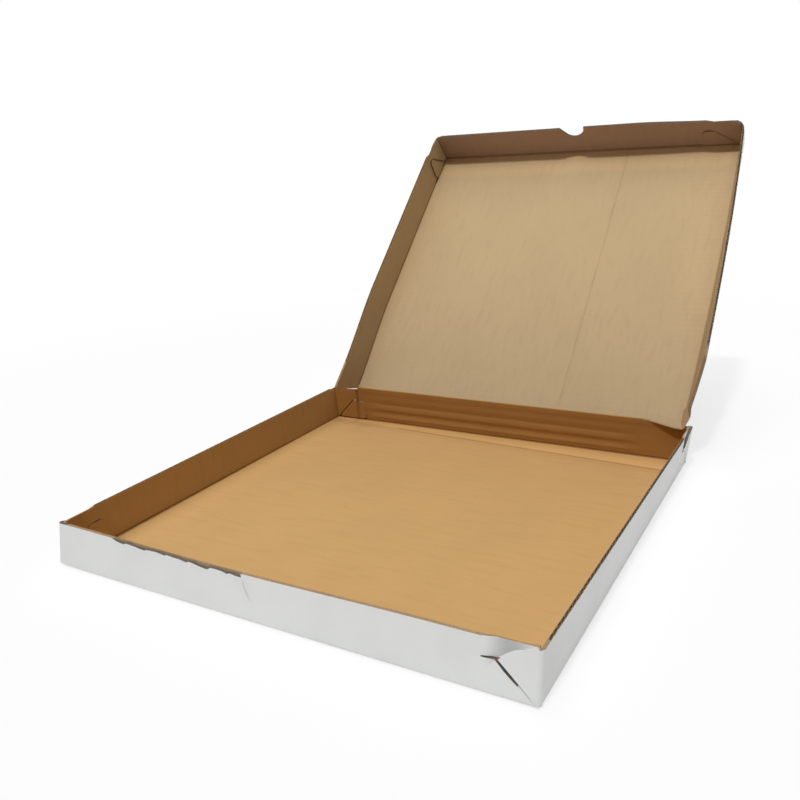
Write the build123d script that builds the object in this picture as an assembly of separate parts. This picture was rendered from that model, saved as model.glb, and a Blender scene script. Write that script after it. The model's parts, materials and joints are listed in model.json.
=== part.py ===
from build123d import *
import math
import os

# Flat food box of folded corrugated board, with the lid open.
# X runs to the right, Y to the rear, Z up. The underside of the tray is centred on the origin.

# Driving sizes in millimetres
BASE_WIDTH = 400.0
BASE_DEPTH = 368.0
WALL_HEIGHT = 38.0
BOARD = 2.4
LID_OPEN = 138.0

# How much smaller the lid is than the tray, so that it closes inside the walls
LID_NARROWER = 27.0
LID_SHORTER = 12.0

# Clearances between pieces of card
SLIP = 0.3
HINGE_GAP = 0.4
FLOOR_CLEARANCE = 0.5
SIDE_CLEARANCE = 0.6

# Folds: radius on the inside and on the outside of the card
FOLD_IN = 0.8
FOLD_OUT = FOLD_IN + BOARD

# Corner lock: places along the wall are measured from the corner, levels from the foot of the wall
SLIT_ANGLE = 45.0
SLIT_RUN = 26.5
SLIT_RISE = 24.8
SLIT_CUT = 0.8
HOOK_LENGTH = 9.3
TAB_CROWN = 2.0
TIP_SHOULDER = 33.5
TIP_REACH = 41.0
TIP_LEVEL = 16.5
TIP_TOE = 35.0
CROSSING = 1.0
CORNER_FOOT = 1.6

# Creases pressed into the inside of the card
CREASE_RADIUS = 1.2
CREASE_DEPTH = 0.5
CREASE_MARGIN = 8.0
FLOOR_CREASE = 17.0
PANEL_CREASE = 62.0
REAR_CREASES = (8.5, 15.5, 23.0)

# Free rear ends of the lid's side walls, and the bare corner of the panel beside the right one
LEFT_START = 4.6
LEFT_ROUND = 2.0
RIGHT_START = 20.0
RIGHT_RAKE = 36.0
RIGHT_ROUND = 7.0
EAR_REACH = 4.6
EAR_START = 0.5
EAR_CHAMFER = 6.6
EAR_CUT = 1.0

# Thumb notch in the open edge of the lid's front wall, with its left corner worn away
NOTCH_RADIUS = 12.6
NOTCH_WEAR = 17.0

# Torn outer paper along the top edge of the tray's front wall
TEAR_START = 64.0
TEAR_LENGTH = 125.0
TEAR_DEPTH = 3.6
TEAR_SWING = 1.1
TEAR_STEPS = 18
TEAR_THICKNESS = 0.8

# Places that follow from the sizes above
INSIDE_STACK = 2 * BOARD + SLIP
LID_WIDTH = BASE_WIDTH - LID_NARROWER
LID_LENGTH = BASE_DEPTH - LID_SHORTER
LID_SHIFT = BASE_WIDTH / 2 - INSIDE_STACK - SIDE_CLEARANCE - LID_WIDTH / 2
HINGE_Y = BASE_DEPTH / 2 - BOARD / 2
HINGE_Z = WALL_HEIGHT + HINGE_GAP + BOARD / 2
LID_HEIGHT = HINGE_Z + BOARD / 2 - BOARD - FLOOR_CLEARANCE


def prism(outline, plane, depth):
    """Extrudes a closed outline of points on a plane."""
    return extrude(plane * make_face(Polyline(*outline, close=True)), depth)


def upright(depth_in):
    """Plane of a wall's elevation: first axis along X, second up, extruded towards +Y."""
    return Plane(origin=(0, depth_in, 0), x_dir=(1, 0, 0), z_dir=(0, -1, 0))


class CornerLock:
    """A tab that hooks through a slit in the next wall.

    The corner stands on the origin. The wall with the slit runs along -X with its outside on
    y = 0, and the wall that carries the tab runs along +Y with its outside on x = 0.
    """

    def __init__(self, height):
        angle = math.radians(SLIT_ANGLE)
        self.height = height
        self.along = (-math.cos(angle), math.sin(angle))
        self.across = (-math.sin(angle), -math.cos(angle))
        self.top = (-SLIT_RUN, SLIT_RISE)
        climb = (self.top[1] - FOLD_OUT) / self.along[1]
        self.foot = (self.top[0] - climb * self.along[0], FOLD_OUT)
        self.hook = self.top[0] - HOOK_LENGTH
        self.flap_end = -(BOARD + SLIP + FOLD_IN)
        self.side = CROSSING + SLIP

    def at_height(self, offset, level):
        """Point of the slit line, moved sideways by an offset, at a level."""
        climb = (level - self.foot[1] - offset * self.across[1]) / self.along[1]
        run = self.foot[0] + climb * self.along[0] + offset * self.across[0]
        return (run, level)

    def at_run(self, offset, run):
        """Point of the slit line, moved sideways by an offset, at a distance from the corner."""
        climb = (run - self.foot[0] - offset * self.across[0]) / self.along[0]
        level = self.foot[1] + climb * self.along[1] + offset * self.across[1]
        return (run, level)

    def wall_outline(self):
        """Points of the slit wall's edge at this corner, from its foot to its top."""
        below_hook = self.top[1] - SLIT_CUT / 2
        return [
            self.at_height(self.side, FOLD_OUT),
            self.at_height(self.side, below_hook),
            (self.hook, below_hook),
            (self.hook, self.height),
        ]

    def flap(self):
        """End of the slit wall, bent inwards above the hook so that it lies behind the tab."""
        above_hook = self.top[1] + SLIT_CUT / 2
        behind = BOARD + SLIP
        bend = [
            (self.hook, 0),
            (self.top[0], behind),
            (self.flap_end, behind),
            (self.flap_end, behind + BOARD),
            (self.top[0], behind + BOARD),
            (self.hook, BOARD),
        ]
        outline = [
            (self.hook, above_hook),
            self.at_height(-self.side, above_hook),
            self.at_run(-self.side, self.flap_end),
            (self.flap_end, self.height),
            (self.hook, self.height),
        ]
        return prism(bend, Plane.XY, self.height) & prism(outline, upright(0), -INSIDE_STACK)

    def tab_outline(self):
        """Face of the tab: a curved top edge, then the rounded tip that lies inside."""
        low = FOLD_OUT + SLIP
        high = self.top[1] - SLIT_CUT / 2
        corner = (-FOLD_OUT, self.height)
        neck = (self.top[0], high)
        crown = ((corner[0] + neck[0]) / 2, (corner[1] + neck[1]) / 2 + TAB_CROWN)
        shoulder = (-TIP_SHOULDER, high)
        nose = (-TIP_REACH, TIP_LEVEL)
        toe = (-TIP_TOE, low)
        edge = [
            Line((-FOLD_OUT, low), corner),
            ThreePointArc(corner, crown, neck),
            Line(neck, shoulder),
            Spline(shoulder, nose, toe, tangents=[(-1, 0), (1, 0)]),
            Line(toe, (-FOLD_OUT, low)),
        ]
        return make_face(Wire(edge))

    def tab(self):
        """Tab with its corner bend: outside the slit wall, through the slit, then inside."""
        behind = BOARD + SLIP
        far = 2 * TIP_REACH
        section = [
            (-far, 0),
            (-CROSSING, 0),
            (CROSSING, behind),
            (far, behind),
            (far, behind + BOARD),
            (CROSSING, behind + BOARD),
            (-CROSSING, BOARD),
            (-far, BOARD),
        ]
        slit = Plane(
            origin=(self.foot[0], 0, self.foot[1]),
            x_dir=(self.across[0], 0, self.across[1]),
            z_dir=(-self.along[0], 0, -self.along[1]),
        )
        sheet = extrude(slit * make_face(Polyline(*section, close=True)), far, both=True)
        blade = sheet & extrude(upright(0) * self.tab_outline(), -INSIDE_STACK)
        return blade + self.bend()

    def bend(self):
        """Upright fold between the tab and the wall that carries it."""
        centre = Pos(-FOLD_OUT, FOLD_OUT, CORNER_FOOT)
        ring = Circle(FOLD_OUT) - Circle(FOLD_IN)
        quarter = ring & Pos(FOLD_OUT / 2, -FOLD_OUT / 2) * Rectangle(FOLD_OUT, FOLD_OUT)
        return centre * extrude(quarter, self.height - CORNER_FOOT)


def floor_fold(start, end):
    """Fold between a wall along -X and the panel at its foot."""
    ring = Circle(FOLD_OUT) - Circle(FOLD_IN)
    quarter = ring & Pos(-FOLD_OUT / 2, -FOLD_OUT / 2) * Rectangle(FOLD_OUT, FOLD_OUT)
    plane = Plane(origin=(start, FOLD_OUT, FOLD_OUT), x_dir=(0, 1, 0), z_dir=(1, 0, 0))
    return extrude(plane * quarter, end - start)


def wall_plate(near_edge, far_edge):
    """Upright plate of a wall from the points of its near and far edges."""
    return prism(near_edge + far_edge, upright(0), -BOARD)


def slit_wall(height, far_edge, end_round=0):
    """Wall along -X with a corner lock at its near end, and the tab that comes from the next wall."""
    lock = CornerLock(height)
    plate = wall_plate(lock.wall_outline(), far_edge)
    if end_round:
        plate = fillet(open_corners(plate)[0], end_round)
    fold = floor_fold(far_edge[-1][0], -FOLD_OUT)
    return plate + fold + lock.flap() + lock.tab()


def open_corners(plate):
    """Edges through the board at the open edge of a wall, from its far end to its near end."""
    return plate.edges().filter_by(Axis.Y).group_by(Axis.Z)[-1].sort_by(Axis.X)


def folded_end(length, height):
    """Points of a wall's far edge where a corner bend carries on."""
    return [(FOLD_OUT - length, height), (FOLD_OUT - length, FOLD_OUT)]


def crease(length):
    """Rod along X that presses a crease into a face lying on z = 0."""
    return Pos(0, 0, CREASE_RADIUS - CREASE_DEPTH) * Rot(0, 90, 0) * Cylinder(CREASE_RADIUS, length)


def torn_paper():
    """Ragged strip of outer paper missing along the top edge of the front wall."""
    start = TEAR_START - BASE_WIDTH / 2
    ragged = []
    for step in range(TEAR_STEPS + 1):
        share = step / TEAR_STEPS
        wave = math.sin(step * math.pi / 2) + math.sin(step * math.pi / 5)
        depth = TEAR_DEPTH * math.sqrt(share) + TEAR_SWING * wave / 2 * share
        ragged.append((start + share * TEAR_LENGTH, WALL_HEIGHT - max(depth, 0)))
    top = WALL_HEIGHT + SLIP
    lower = Spline(*ragged)
    edges = [
        lower,
        Line(ragged[-1], (ragged[-1][0], top)),
        Line((ragged[-1][0], top), (ragged[0][0], top)),
        Line((ragged[0][0], top), ragged[0]),
    ]
    return extrude(upright(-BASE_DEPTH / 2) * make_face(Wire(edges)), -TEAR_THICKNESS)


def panel_ear():
    """Bare rear corner of the lid's panel, which reaches past the right wall's fold on x = 0."""
    front = RIGHT_START - EAR_CUT
    outline = [
        (-FOLD_OUT, EAR_START),
        (EAR_REACH - EAR_CHAMFER, EAR_START),
        (EAR_REACH, EAR_START + EAR_CHAMFER),
        (EAR_REACH, front),
        (-FOLD_OUT, front),
    ]
    return prism(outline, Plane.XY, BOARD)


def thumb_notch():
    """Half-round cut with one worn corner, in a wall that stands on y = 0 with its open edge on z = 0."""
    lean = math.acos(NOTCH_RADIUS / NOTCH_WEAR)
    touch = (-NOTCH_RADIUS * math.cos(lean), -NOTCH_RADIUS * math.sin(lean))
    wear = prism([(-NOTCH_WEAR, 0), touch, (0, 0)], upright(-INSIDE_STACK), -2 * INSIDE_STACK)
    return Rot(90, 0, 0) * Cylinder(NOTCH_RADIUS, 2 * INSIDE_STACK) + wear


def base_tray():
    """Tray: floor, four walls and their four corner locks, folded from one sheet."""
    half_width = BASE_WIDTH / 2
    half_depth = BASE_DEPTH / 2
    tray = Pos(0, 0, BOARD / 2) * Box(BASE_WIDTH - 2 * FOLD_OUT, BASE_DEPTH - 2 * FOLD_OUT, BOARD)
    corners = [
        (half_width, -half_depth, BASE_WIDTH),
        (-half_width, -half_depth, BASE_DEPTH),
        (-half_width, half_depth, BASE_WIDTH),
        (half_width, half_depth, BASE_DEPTH),
    ]
    for turn, (x, y, length) in enumerate(corners):
        wall = slit_wall(WALL_HEIGHT, folded_end(length, WALL_HEIGHT))
        tray += Pos(x, y, 0) * Rot(0, 0, -90 * turn) * wall
    crease_length = BASE_WIDTH - 2 * (FOLD_OUT + CREASE_MARGIN)
    tray -= Pos(0, half_depth - FLOOR_CREASE, BOARD) * crease(crease_length)
    for level in REAR_CREASES:
        face = Pos(0, half_depth - BOARD, level) * Rot(90, 0, 0)
        tray -= face * crease(BASE_WIDTH - 2 * (TIP_REACH + CREASE_MARGIN))
    return tray - torn_paper()


def lid_tray():
    """Lid as a shallow tray lying on its outside, hinged along y = 0."""
    half = LID_WIDTH / 2
    flat_width = LID_WIDTH - 2 * FOLD_OUT
    flat_length = LID_LENGTH - FOLD_OUT
    tray = Pos(0, flat_length / 2, BOARD / 2) * Box(flat_width, flat_length, BOARD)
    tray += Pos(0, 0, BOARD / 2) * Rot(0, 90, 0) * Cylinder(BOARD / 2, flat_width)

    front = slit_wall(LID_HEIGHT, folded_end(LID_WIDTH, LID_HEIGHT))
    left_reach = LEFT_START - LID_LENGTH
    left_end = [(left_reach, LID_HEIGHT), (left_reach, FOLD_OUT)]
    left = slit_wall(LID_HEIGHT, left_end, end_round=LEFT_ROUND)
    right_end = [(-RIGHT_START, FOLD_OUT), (-RIGHT_START - RIGHT_RAKE, LID_HEIGHT)]
    right = wall_plate(right_end, folded_end(LID_LENGTH, LID_HEIGHT))
    right = fillet(open_corners(right)[-1], RIGHT_ROUND)
    right += floor_fold(FOLD_OUT - LID_LENGTH, -RIGHT_START)
    tray += Pos(half, LID_LENGTH, 0) * mirror(front, Plane.XZ)
    tray += Pos(-half, LID_LENGTH, 0) * Rot(0, 0, 90) * mirror(left, Plane.XZ)
    tray += Pos(half, 0, 0) * Rot(0, 0, -90) * mirror(right, Plane.XZ)
    tray += Pos(half, 0, 0) * panel_ear()
    tray -= Pos(0, LID_LENGTH, LID_HEIGHT) * thumb_notch()
    long_crease = crease(LID_LENGTH - 2 * (FOLD_OUT + CREASE_MARGIN))
    tray -= Pos(PANEL_CREASE, LID_LENGTH / 2, BOARD) * Rot(0, 0, 90) * long_crease
    return tray


def lid():
    """Lid swung open about the top edge of the tray's rear wall."""
    place = Pos(0, HINGE_Y, HINGE_Z) * Rot(180 - LID_OPEN, 0, 0) * Pos(LID_SHIFT, 0, -BOARD / 2)
    return place * lid_tray()


os.makedirs("parts", exist_ok=True)
export_step(base_tray(), "parts/base_tray.step")
export_step(lid(), "parts/lid.step")
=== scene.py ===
import json
import logging
import math
from dataclasses import dataclass
from enum import Enum, IntEnum

import bpy
import numpy as np
from mathutils import Matrix, Vector


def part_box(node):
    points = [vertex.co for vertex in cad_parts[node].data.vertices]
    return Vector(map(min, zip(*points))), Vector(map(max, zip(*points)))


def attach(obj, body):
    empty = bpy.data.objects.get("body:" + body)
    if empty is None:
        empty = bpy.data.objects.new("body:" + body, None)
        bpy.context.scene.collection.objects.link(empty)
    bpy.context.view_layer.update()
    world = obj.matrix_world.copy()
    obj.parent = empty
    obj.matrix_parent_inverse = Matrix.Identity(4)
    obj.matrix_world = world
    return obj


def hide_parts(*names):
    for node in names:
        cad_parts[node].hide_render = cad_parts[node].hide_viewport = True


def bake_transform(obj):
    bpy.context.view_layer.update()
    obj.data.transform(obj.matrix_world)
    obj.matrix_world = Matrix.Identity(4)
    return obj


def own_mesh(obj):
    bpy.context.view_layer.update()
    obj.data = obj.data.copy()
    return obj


# Shallow food box of folded corrugated board, white outside and brown inside, with its lid open.
# Lengths are in metres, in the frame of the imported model: X to the right, Y to the rear, Z up.

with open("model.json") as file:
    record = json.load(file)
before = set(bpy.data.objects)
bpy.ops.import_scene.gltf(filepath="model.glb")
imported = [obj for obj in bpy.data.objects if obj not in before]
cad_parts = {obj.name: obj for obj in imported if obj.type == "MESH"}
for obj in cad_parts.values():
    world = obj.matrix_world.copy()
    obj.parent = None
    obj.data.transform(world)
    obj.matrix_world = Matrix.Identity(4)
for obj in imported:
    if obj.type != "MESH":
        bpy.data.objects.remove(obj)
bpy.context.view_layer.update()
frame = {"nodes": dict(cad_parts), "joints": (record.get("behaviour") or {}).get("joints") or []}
LOG = logging.getLogger("food_box")

# Driving sizes of the card
MM = 0.001
BOARD = 2.4 * MM
LINER = 0.35 * MM
MEDIUM = 0.3 * MM
FLUTE_PITCH = 6.4 * MM
FLUTE_SINK = 0.15 * BOARD
FOLD_OUT = 3.2 * MM
STACK = 6.0 * MM

# Fineness of the meshes
GRID_STEP = 11.0 * MM
LEVEL_STEP = GRID_STEP / 4.0
FLUTE_STEPS = 8
FLUTE_ROWS = 4
NEAR = 0.15 * MM
MERGE = 0.002 * MM
FLAT_ANGLE = math.radians(0.3)
CARD_ANGLE = math.radians(28.0)
FLUTE_ANGLE = math.radians(50.0)
FOLD_ANGLE = math.radians(60.0)

# Shares of a face's direction, from square on to a slant
SQUARE = 0.9
HALF = 0.5
EDGEWISE = 0.35
RISING = 0.3

# Corner locks: places along the wall are measured from the corner, levels from the foot of the wall
SLIT_RUN = 26.5 * MM
SLIT_RISE = 24.8 * MM
SLIT_HALF = 3.0 * MM
SLIT_SLACK = 1.0 * MM
HOOK = 9.3 * MM
LOCK_LENGTH = 37.0 * MM
LOCK_REACH = 45.0 * MM
BEND = 4.0 * MM

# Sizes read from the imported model
TRAY_LOW, TRAY_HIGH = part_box("base_tray")
HINGE = frame["joints"][0]
HINGE_POINT = Vector(HINGE["pos_m"])
LID_OPEN = math.radians(-HINGE["range_deg"][0])

# Lid sizes, in its own frame from the hinge
LID_LEFT = -178.7 * MM
LID_RIGHT = 194.3 * MM
LID_LENGTH = 356.0 * MM
LID_HEIGHT = 37.9 * MM
EAR_END = 21.0 * MM

# Levels between which the noise patterns mostly lie, and a length past every edge of the unfolded sheet
NOISE_RANGE = (0.3, 0.7)
PAST_SHEET = 1.0

Array = np.ndarray
Colour = tuple[float, float, float]
Triple = tuple[float, float, float]
Piece = bpy.types.Object
Material = bpy.types.Material
Socket = bpy.types.NodeSocket
Value = Socket | float | tuple[float, ...]


class Liner(IntEnum):
    """Material slot of a face of card: its liners, its cut edges, painted shade for its slits, gaps, open
    corners and torn ledge, and its bared board.
    """

    OUTER = 0
    INNER = 1
    CUT = 2
    # This slot paints shade: a near black cut colour for faces in slits, hooks, open corners and the torn
    # ledge.
    GAP_SHADE = 3
    BARED = 4


class Wall(Enum):
    """Part of the sheet that a face belongs to."""

    FLOOR = "floor"
    FRONT = "front"
    REAR = "rear"
    LEFT = "left"
    RIGHT = "right"


class Axis(IntEnum):
    """Direction on a panel or on the unfolded sheet."""

    ACROSS = 0
    ALONG = 1


def smoothstep(value: Array, low: float, high: float) -> Array:
    """Smooth rise from 0 to 1 between two values."""
    share = np.clip((value - low) / (high - low), 0.0, 1.0)
    return share * share * (3.0 - 2.0 * share)


def mix(low: float, high: float, share: Array) -> Array:
    """Straight change from one value to another."""
    return low + (high - low) * share


def toned(colour: Colour, factor: float = 1.0, lift: float = 0.0) -> tuple[float, ...]:
    """Opaque colour for a node, made darker or paler by a factor and a lift."""
    return *(channel * factor + lift for channel in colour), 1.0


def select_only(piece: Piece) -> None:
    """Makes a piece the only selected and the active object.

    Args:
        piece: the object.
    """
    bpy.ops.object.select_all(action="DESELECT")
    piece.select_set(True)
    bpy.context.view_layer.objects.active = piece


def points_of(piece: Piece) -> Array:
    """Vertices of a mesh piece.

    Args:
        piece: the mesh piece, in object mode.

    Returns:
        Rows of coordinates.
    """
    points = np.empty(len(piece.data.vertices) * 3)
    piece.data.vertices.foreach_get("co", points)
    return points.reshape(-1, 3)


def set_points(piece: Piece, points: Array) -> None:
    """Writes rows of coordinates back to a mesh piece."""
    piece.data.vertices.foreach_set("co", points.ravel())
    piece.data.update()


def select_faces(piece: Piece, wanted: Array) -> None:
    """Selects just the wanted faces of the active piece, and leaves it in edit mode.

    Args:
        piece: the active mesh piece.
        wanted: True for each face to select.
    """
    bpy.ops.object.mode_set(mode="OBJECT")
    mesh = piece.data
    mesh.vertices.foreach_set("select", np.zeros(len(mesh.vertices), bool))
    mesh.edges.foreach_set("select", np.zeros(len(mesh.edges), bool))
    mesh.polygons.foreach_set("select", wanted)
    bpy.ops.object.mode_set(mode="EDIT")
    bpy.ops.mesh.select_mode(type="FACE")


def paper_grid(columns: int, rows: int) -> tuple[Piece, Array]:
    """Adds a flat grid, which is then shaped into a strip of paper.

    Args:
        columns: faces along the strip.
        rows: faces across it.

    Returns:
        The grid, and for each of its points the shares along and across, from 0 to 1.
    """
    bpy.ops.object.select_all(action="DESELECT")
    bpy.ops.mesh.primitive_grid_add(x_subdivisions=columns, y_subdivisions=rows, size=2.0)
    piece = bpy.context.object
    return piece, (points_of(piece) + 1.0) / 2.0


def thicken(piece: Piece, thickness: float) -> None:
    """Gives a strip of paper its thickness, half to each side.

    Args:
        piece: the strip.
        thickness: thickness of the paper.
    """
    solid = piece.modifiers.new("thickness", "SOLIDIFY")
    solid.thickness = thickness
    solid.offset = 0.0
    select_only(piece)
    bpy.ops.object.modifier_apply(modifier=solid.name)


@dataclass(frozen=True)
class CardFrame:
    """Frame of a folded tray: across, along and up from the outside of its panel."""

    origin: Vector
    along: Vector
    up: Vector

    def axes(self) -> Array:
        """Rows of the frame's three directions."""
        return np.array([(1.0, 0.0, 0.0), self.along, self.up])

    def to_local(self, points: Array) -> Array:
        """Moves points into this frame."""
        return (points - np.array(self.origin)) @ self.axes().T

    def to_world(self, points: Array) -> Array:
        """Moves points out of this frame."""
        return points @ self.axes() + np.array(self.origin)

    def direction(self, local: Vector) -> Vector:
        """Turns a local direction into the model's frame."""
        return Vector(np.array(local) @ self.axes())


class Shader:
    """A node material, built up from a Principled surface."""

    # Sockets of the node that mixes two colours
    MIX_SHARE, MIX_UNDER, MIX_OVER = 0, 6, 7
    MIX_RESULT = 2

    def __init__(self, name: str) -> None:
        """Starts a new material.

        Args:
            name: name of the material.
        """
        self.material = bpy.data.materials.new(name)
        self.material.use_nodes = True
        self.tree = self.material.node_tree
        self.surface = self.tree.nodes["Principled BSDF"]

    def add(self, kind: str, inputs: dict[str | int, Value] | None = None, **settings: str) -> bpy.types.Node:
        """Adds a node.

        Args:
            kind: node type without the ShaderNode prefix.
            inputs: values or sockets for the node's inputs, by name or number.
            settings: properties of the node.

        Returns:
            The new node.
        """
        node = self.tree.nodes.new("ShaderNode" + kind)
        for key, value in settings.items():
            setattr(node, key, value)
        for key, value in (inputs or {}).items():
            self.put(node, key, value)
        return node

    def put(self, node: bpy.types.Node, key: str | int, value: Value) -> None:
        """Links a socket to a node's input, or sets the input's value.

        Args:
            node: the node.
            key: name or number of its input.
            value: a socket of another node, or a plain value.
        """
        if isinstance(value, Socket):
            self.tree.links.new(value, node.inputs[key])
        else:
            node.inputs[key].default_value = value

    def math(self, operation: str, *values: Value) -> Socket:
        """Result of a sum on sockets or numbers."""
        return self.add("Math", dict(enumerate(values)), operation=operation).outputs[0]

    def ramp(self, value: Value, low: float, high: float, start: float = 0.0, end: float = 1.0) -> Socket:
        """Smooth change of a socket's range."""
        inputs = {"Value": value, "From Min": low, "From Max": high, "To Min": start, "To Max": end}
        return self.add("MapRange", inputs, interpolation_type="SMOOTHSTEP").outputs[0]

    def tint(self, share: Value, under: Value, over: Value, blend: str = "MIX") -> Socket:
        """Mixes two colours by a share."""
        inputs = {self.MIX_SHARE: share, self.MIX_UNDER: under, self.MIX_OVER: over}
        return self.add("Mix", data_type="RGBA", blend_type=blend, inputs=inputs).outputs[self.MIX_RESULT]

    def sheet(self) -> Socket:
        """Place on the unfolded sheet, in metres."""
        return self.add("UVMap", uv_map="sheet").outputs[0]

    def parts(self, place: Socket) -> bpy.types.NodeOutputs:
        """Coordinates of a place, one socket each."""
        return self.add("SeparateXYZ", {0: place}).outputs

    def noise(self, place: Socket, scale: Triple, detail: float = 3.0) -> Socket:
        """Noise that is stretched by a scale for each direction."""
        mapping = self.add("Mapping", {"Vector": place, "Scale": scale}).outputs[0]
        return self.add("TexNoise", {"Vector": mapping, "Scale": 1.0, "Detail": detail}).outputs[0]

    def bump(self, height: Value, depth: float, below: Socket | None = None) -> Socket:
        """Bump of a height in metres.

        Args:
            height: pattern of the bump, from 0 to 1.
            depth: its height in metres.
            below: bump that it lies over, if there is one.

        Returns:
            The bumped normal.
        """
        node = self.add("Bump", {"Height": height, "Distance": depth, "Strength": 1.0})
        if below is not None:
            self.put(node, "Normal", below)
        return node.outputs[0]

    def washboard(self, place: Socket, depth: float) -> Socket:
        """Faint ridges of the flutes below a liner.

        Args:
            place: place on the unfolded sheet.
            depth: height of the ridges.

        Returns:
            The bumped normal.
        """
        along = self.parts(place)[Axis.ALONG]
        wave = self.math("SINE", self.math("MULTIPLY", along, 2.0 * math.pi / FLUTE_PITCH))
        return self.bump(wave, depth)

    def dress(self, colour: Value, roughness: Value, specular: float, normal: Value) -> Material:
        """Fills in the surface.

        Args:
            colour: base colour.
            roughness: roughness of the surface.
            specular: strength of its sheen.
            normal: bumped normal.

        Returns:
            The finished material.
        """
        self.put(self.surface, "Base Color", colour)
        self.put(self.surface, "Roughness", roughness)
        self.put(self.surface, "Specular IOR Level", specular)
        self.put(self.surface, "Normal", normal)
        return self.material


@dataclass(frozen=True)
class Speckle:
    """Noise that tints a finish: its scale, its detail, the levels where it sets in, and its share."""

    scale: Triple
    detail: float
    start: float = 0.0
    full: float = 1.0
    share: float = 1.0

    def pattern(self, shader: Shader, place: Socket) -> Socket:
        """Noise of this speckle."""
        return shader.noise(place, self.scale, self.detail)

    def lay(self, shader: Shader, pattern: Socket, colour: Value, tone: Value) -> Socket:
        """Tints a colour with a tone where the noise is strong."""
        return shader.tint(shader.ramp(pattern, self.start, self.full, 0.0, self.share), colour, tone)


@dataclass(frozen=True)
class Band:
    """A straight stripe on the unfolded sheet, darker or paler than the rest: painted shade where darker,
    painted light where paler. Slopes make its edges slant.
    """

    axis: Axis
    start: float
    end: float
    soft: float
    tone: Colour
    span: tuple[float, float] = (-PAST_SHEET, PAST_SHEET)
    slopes: tuple[float, float] = (0.0, 0.0)

    def lay(self, shader: Shader, place: Socket, colour: Value) -> Socket:
        """Lays the stripe over a colour.

        Args:
            shader: material that gets the stripe.
            place: place on the unfolded sheet.
            colour: colour below the stripe.

        Returns:
            The colour with the stripe.
        """
        parts = shader.parts(place)
        width, length = parts[self.axis], parts[1 - self.axis]
        begin, finish = (
            shader.math("SUBTRACT", width, shader.math("MULTIPLY", length, slope)) for slope in self.slopes
        )
        low, high = self.span
        share = shader.ramp(begin, self.start - self.soft, self.start + self.soft)
        limits = (
            shader.ramp(finish, self.end - self.soft, self.end + self.soft, 1.0, 0.0),
            shader.ramp(length, low, low + self.soft),
            shader.ramp(length, high - self.soft, high, 1.0, 0.0),
        )
        for limit in limits:
            share = shader.math("MULTIPLY", share, limit)
        return shader.tint(share, colour, toned(self.tone), "MULTIPLY")


@dataclass(frozen=True)
class KraftFinish:
    """Brown liner: mottle, fibre streaks, faint flecks, washboard of the flutes, and stripes of painted shade
    and painted light at the folds and walls.
    """

    name: str
    colour: Colour
    grain: tuple[float, float]
    painted_shading: tuple[Band, ...]
    dark: float = 0.88
    pale: tuple[float, float] = (1.10, 0.01)
    mottle: Speckle = Speckle((16.0, 9.0, 1.0), detail=4.0, start=0.35, full=0.70, share=0.3)
    fibre: Speckle = Speckle((900.0, 500.0, 1.0), detail=2.0, start=0.60, full=0.75, share=0.4)
    fleck: Speckle = Speckle((240.0, 150.0, 1.0), detail=2.0, start=0.62, full=0.80, share=0.6)
    roughness: tuple[float, float] = (0.72, 0.86)
    specular: float = 0.2
    ridges: float = 0.02 * MM
    fuzz: float = 0.05 * MM

    def streak(self) -> Speckle:
        """Streaks that run with the paper's grain."""
        return Speckle((*self.grain, 1.0), detail=3.0, start=0.45, full=0.75, share=0.5)

    def material(self) -> Material:
        """Builds the node material.

        Returns:
            The material.
        """
        shader = Shader(self.name)
        place = shader.sheet()
        dark = toned(self.colour, self.dark)
        fibre = self.fibre.pattern(shader, place)
        colour = toned(self.colour)
        for speckle in (self.mottle, self.streak()):
            colour = speckle.lay(shader, speckle.pattern(shader, place), colour, dark)
        colour = self.fibre.lay(shader, fibre, colour, toned(self.colour, *self.pale))
        colour = self.fleck.lay(shader, self.fleck.pattern(shader, place), colour, dark)
        # Stripes of painted shade and painted light
        for band in self.painted_shading:
            colour = band.lay(shader, place, colour)
        roughness = shader.ramp(fibre, *NOISE_RANGE, *self.roughness)
        normal = shader.bump(fibre, self.fuzz, shader.washboard(place, self.ridges))
        return shader.dress(colour, roughness, self.specular, normal)


@dataclass(frozen=True)
class Dent:
    """A pressed crease that runs down the outside of a wall, drifting sideways."""

    across: float
    start: float
    end: float
    drift: float
    width: float = 1.5 * MM
    fade_in: tuple[float, float] = (0.0, 0.1)
    fade_out: tuple[float, float] = (0.6, 1.0)

    def mask(self, shader: Shader, place: Socket) -> Socket:
        """Share of the crease at a place of the sheet.

        Args:
            shader: material that gets the crease.
            place: place on the unfolded sheet.

        Returns:
            The share, from 0 to 1.
        """
        across, along, _ = shader.parts(place)
        share = shader.math("DIVIDE", shader.math("SUBTRACT", along, self.start), self.end - self.start)
        bent = shader.math("MULTIPLY", shader.math("MULTIPLY", share, share), self.drift)
        gap = shader.math("SUBTRACT", shader.math("SUBTRACT", across, self.across), bent)
        here = shader.ramp(shader.math("ABSOLUTE", gap), 0.0, self.width, 1.0, 0.0)
        begun = shader.ramp(share, *self.fade_in)
        inside = shader.math("MULTIPLY", begun, shader.ramp(share, *self.fade_out, 1.0, 0.0))
        return shader.math("MULTIPLY", here, inside)


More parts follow.
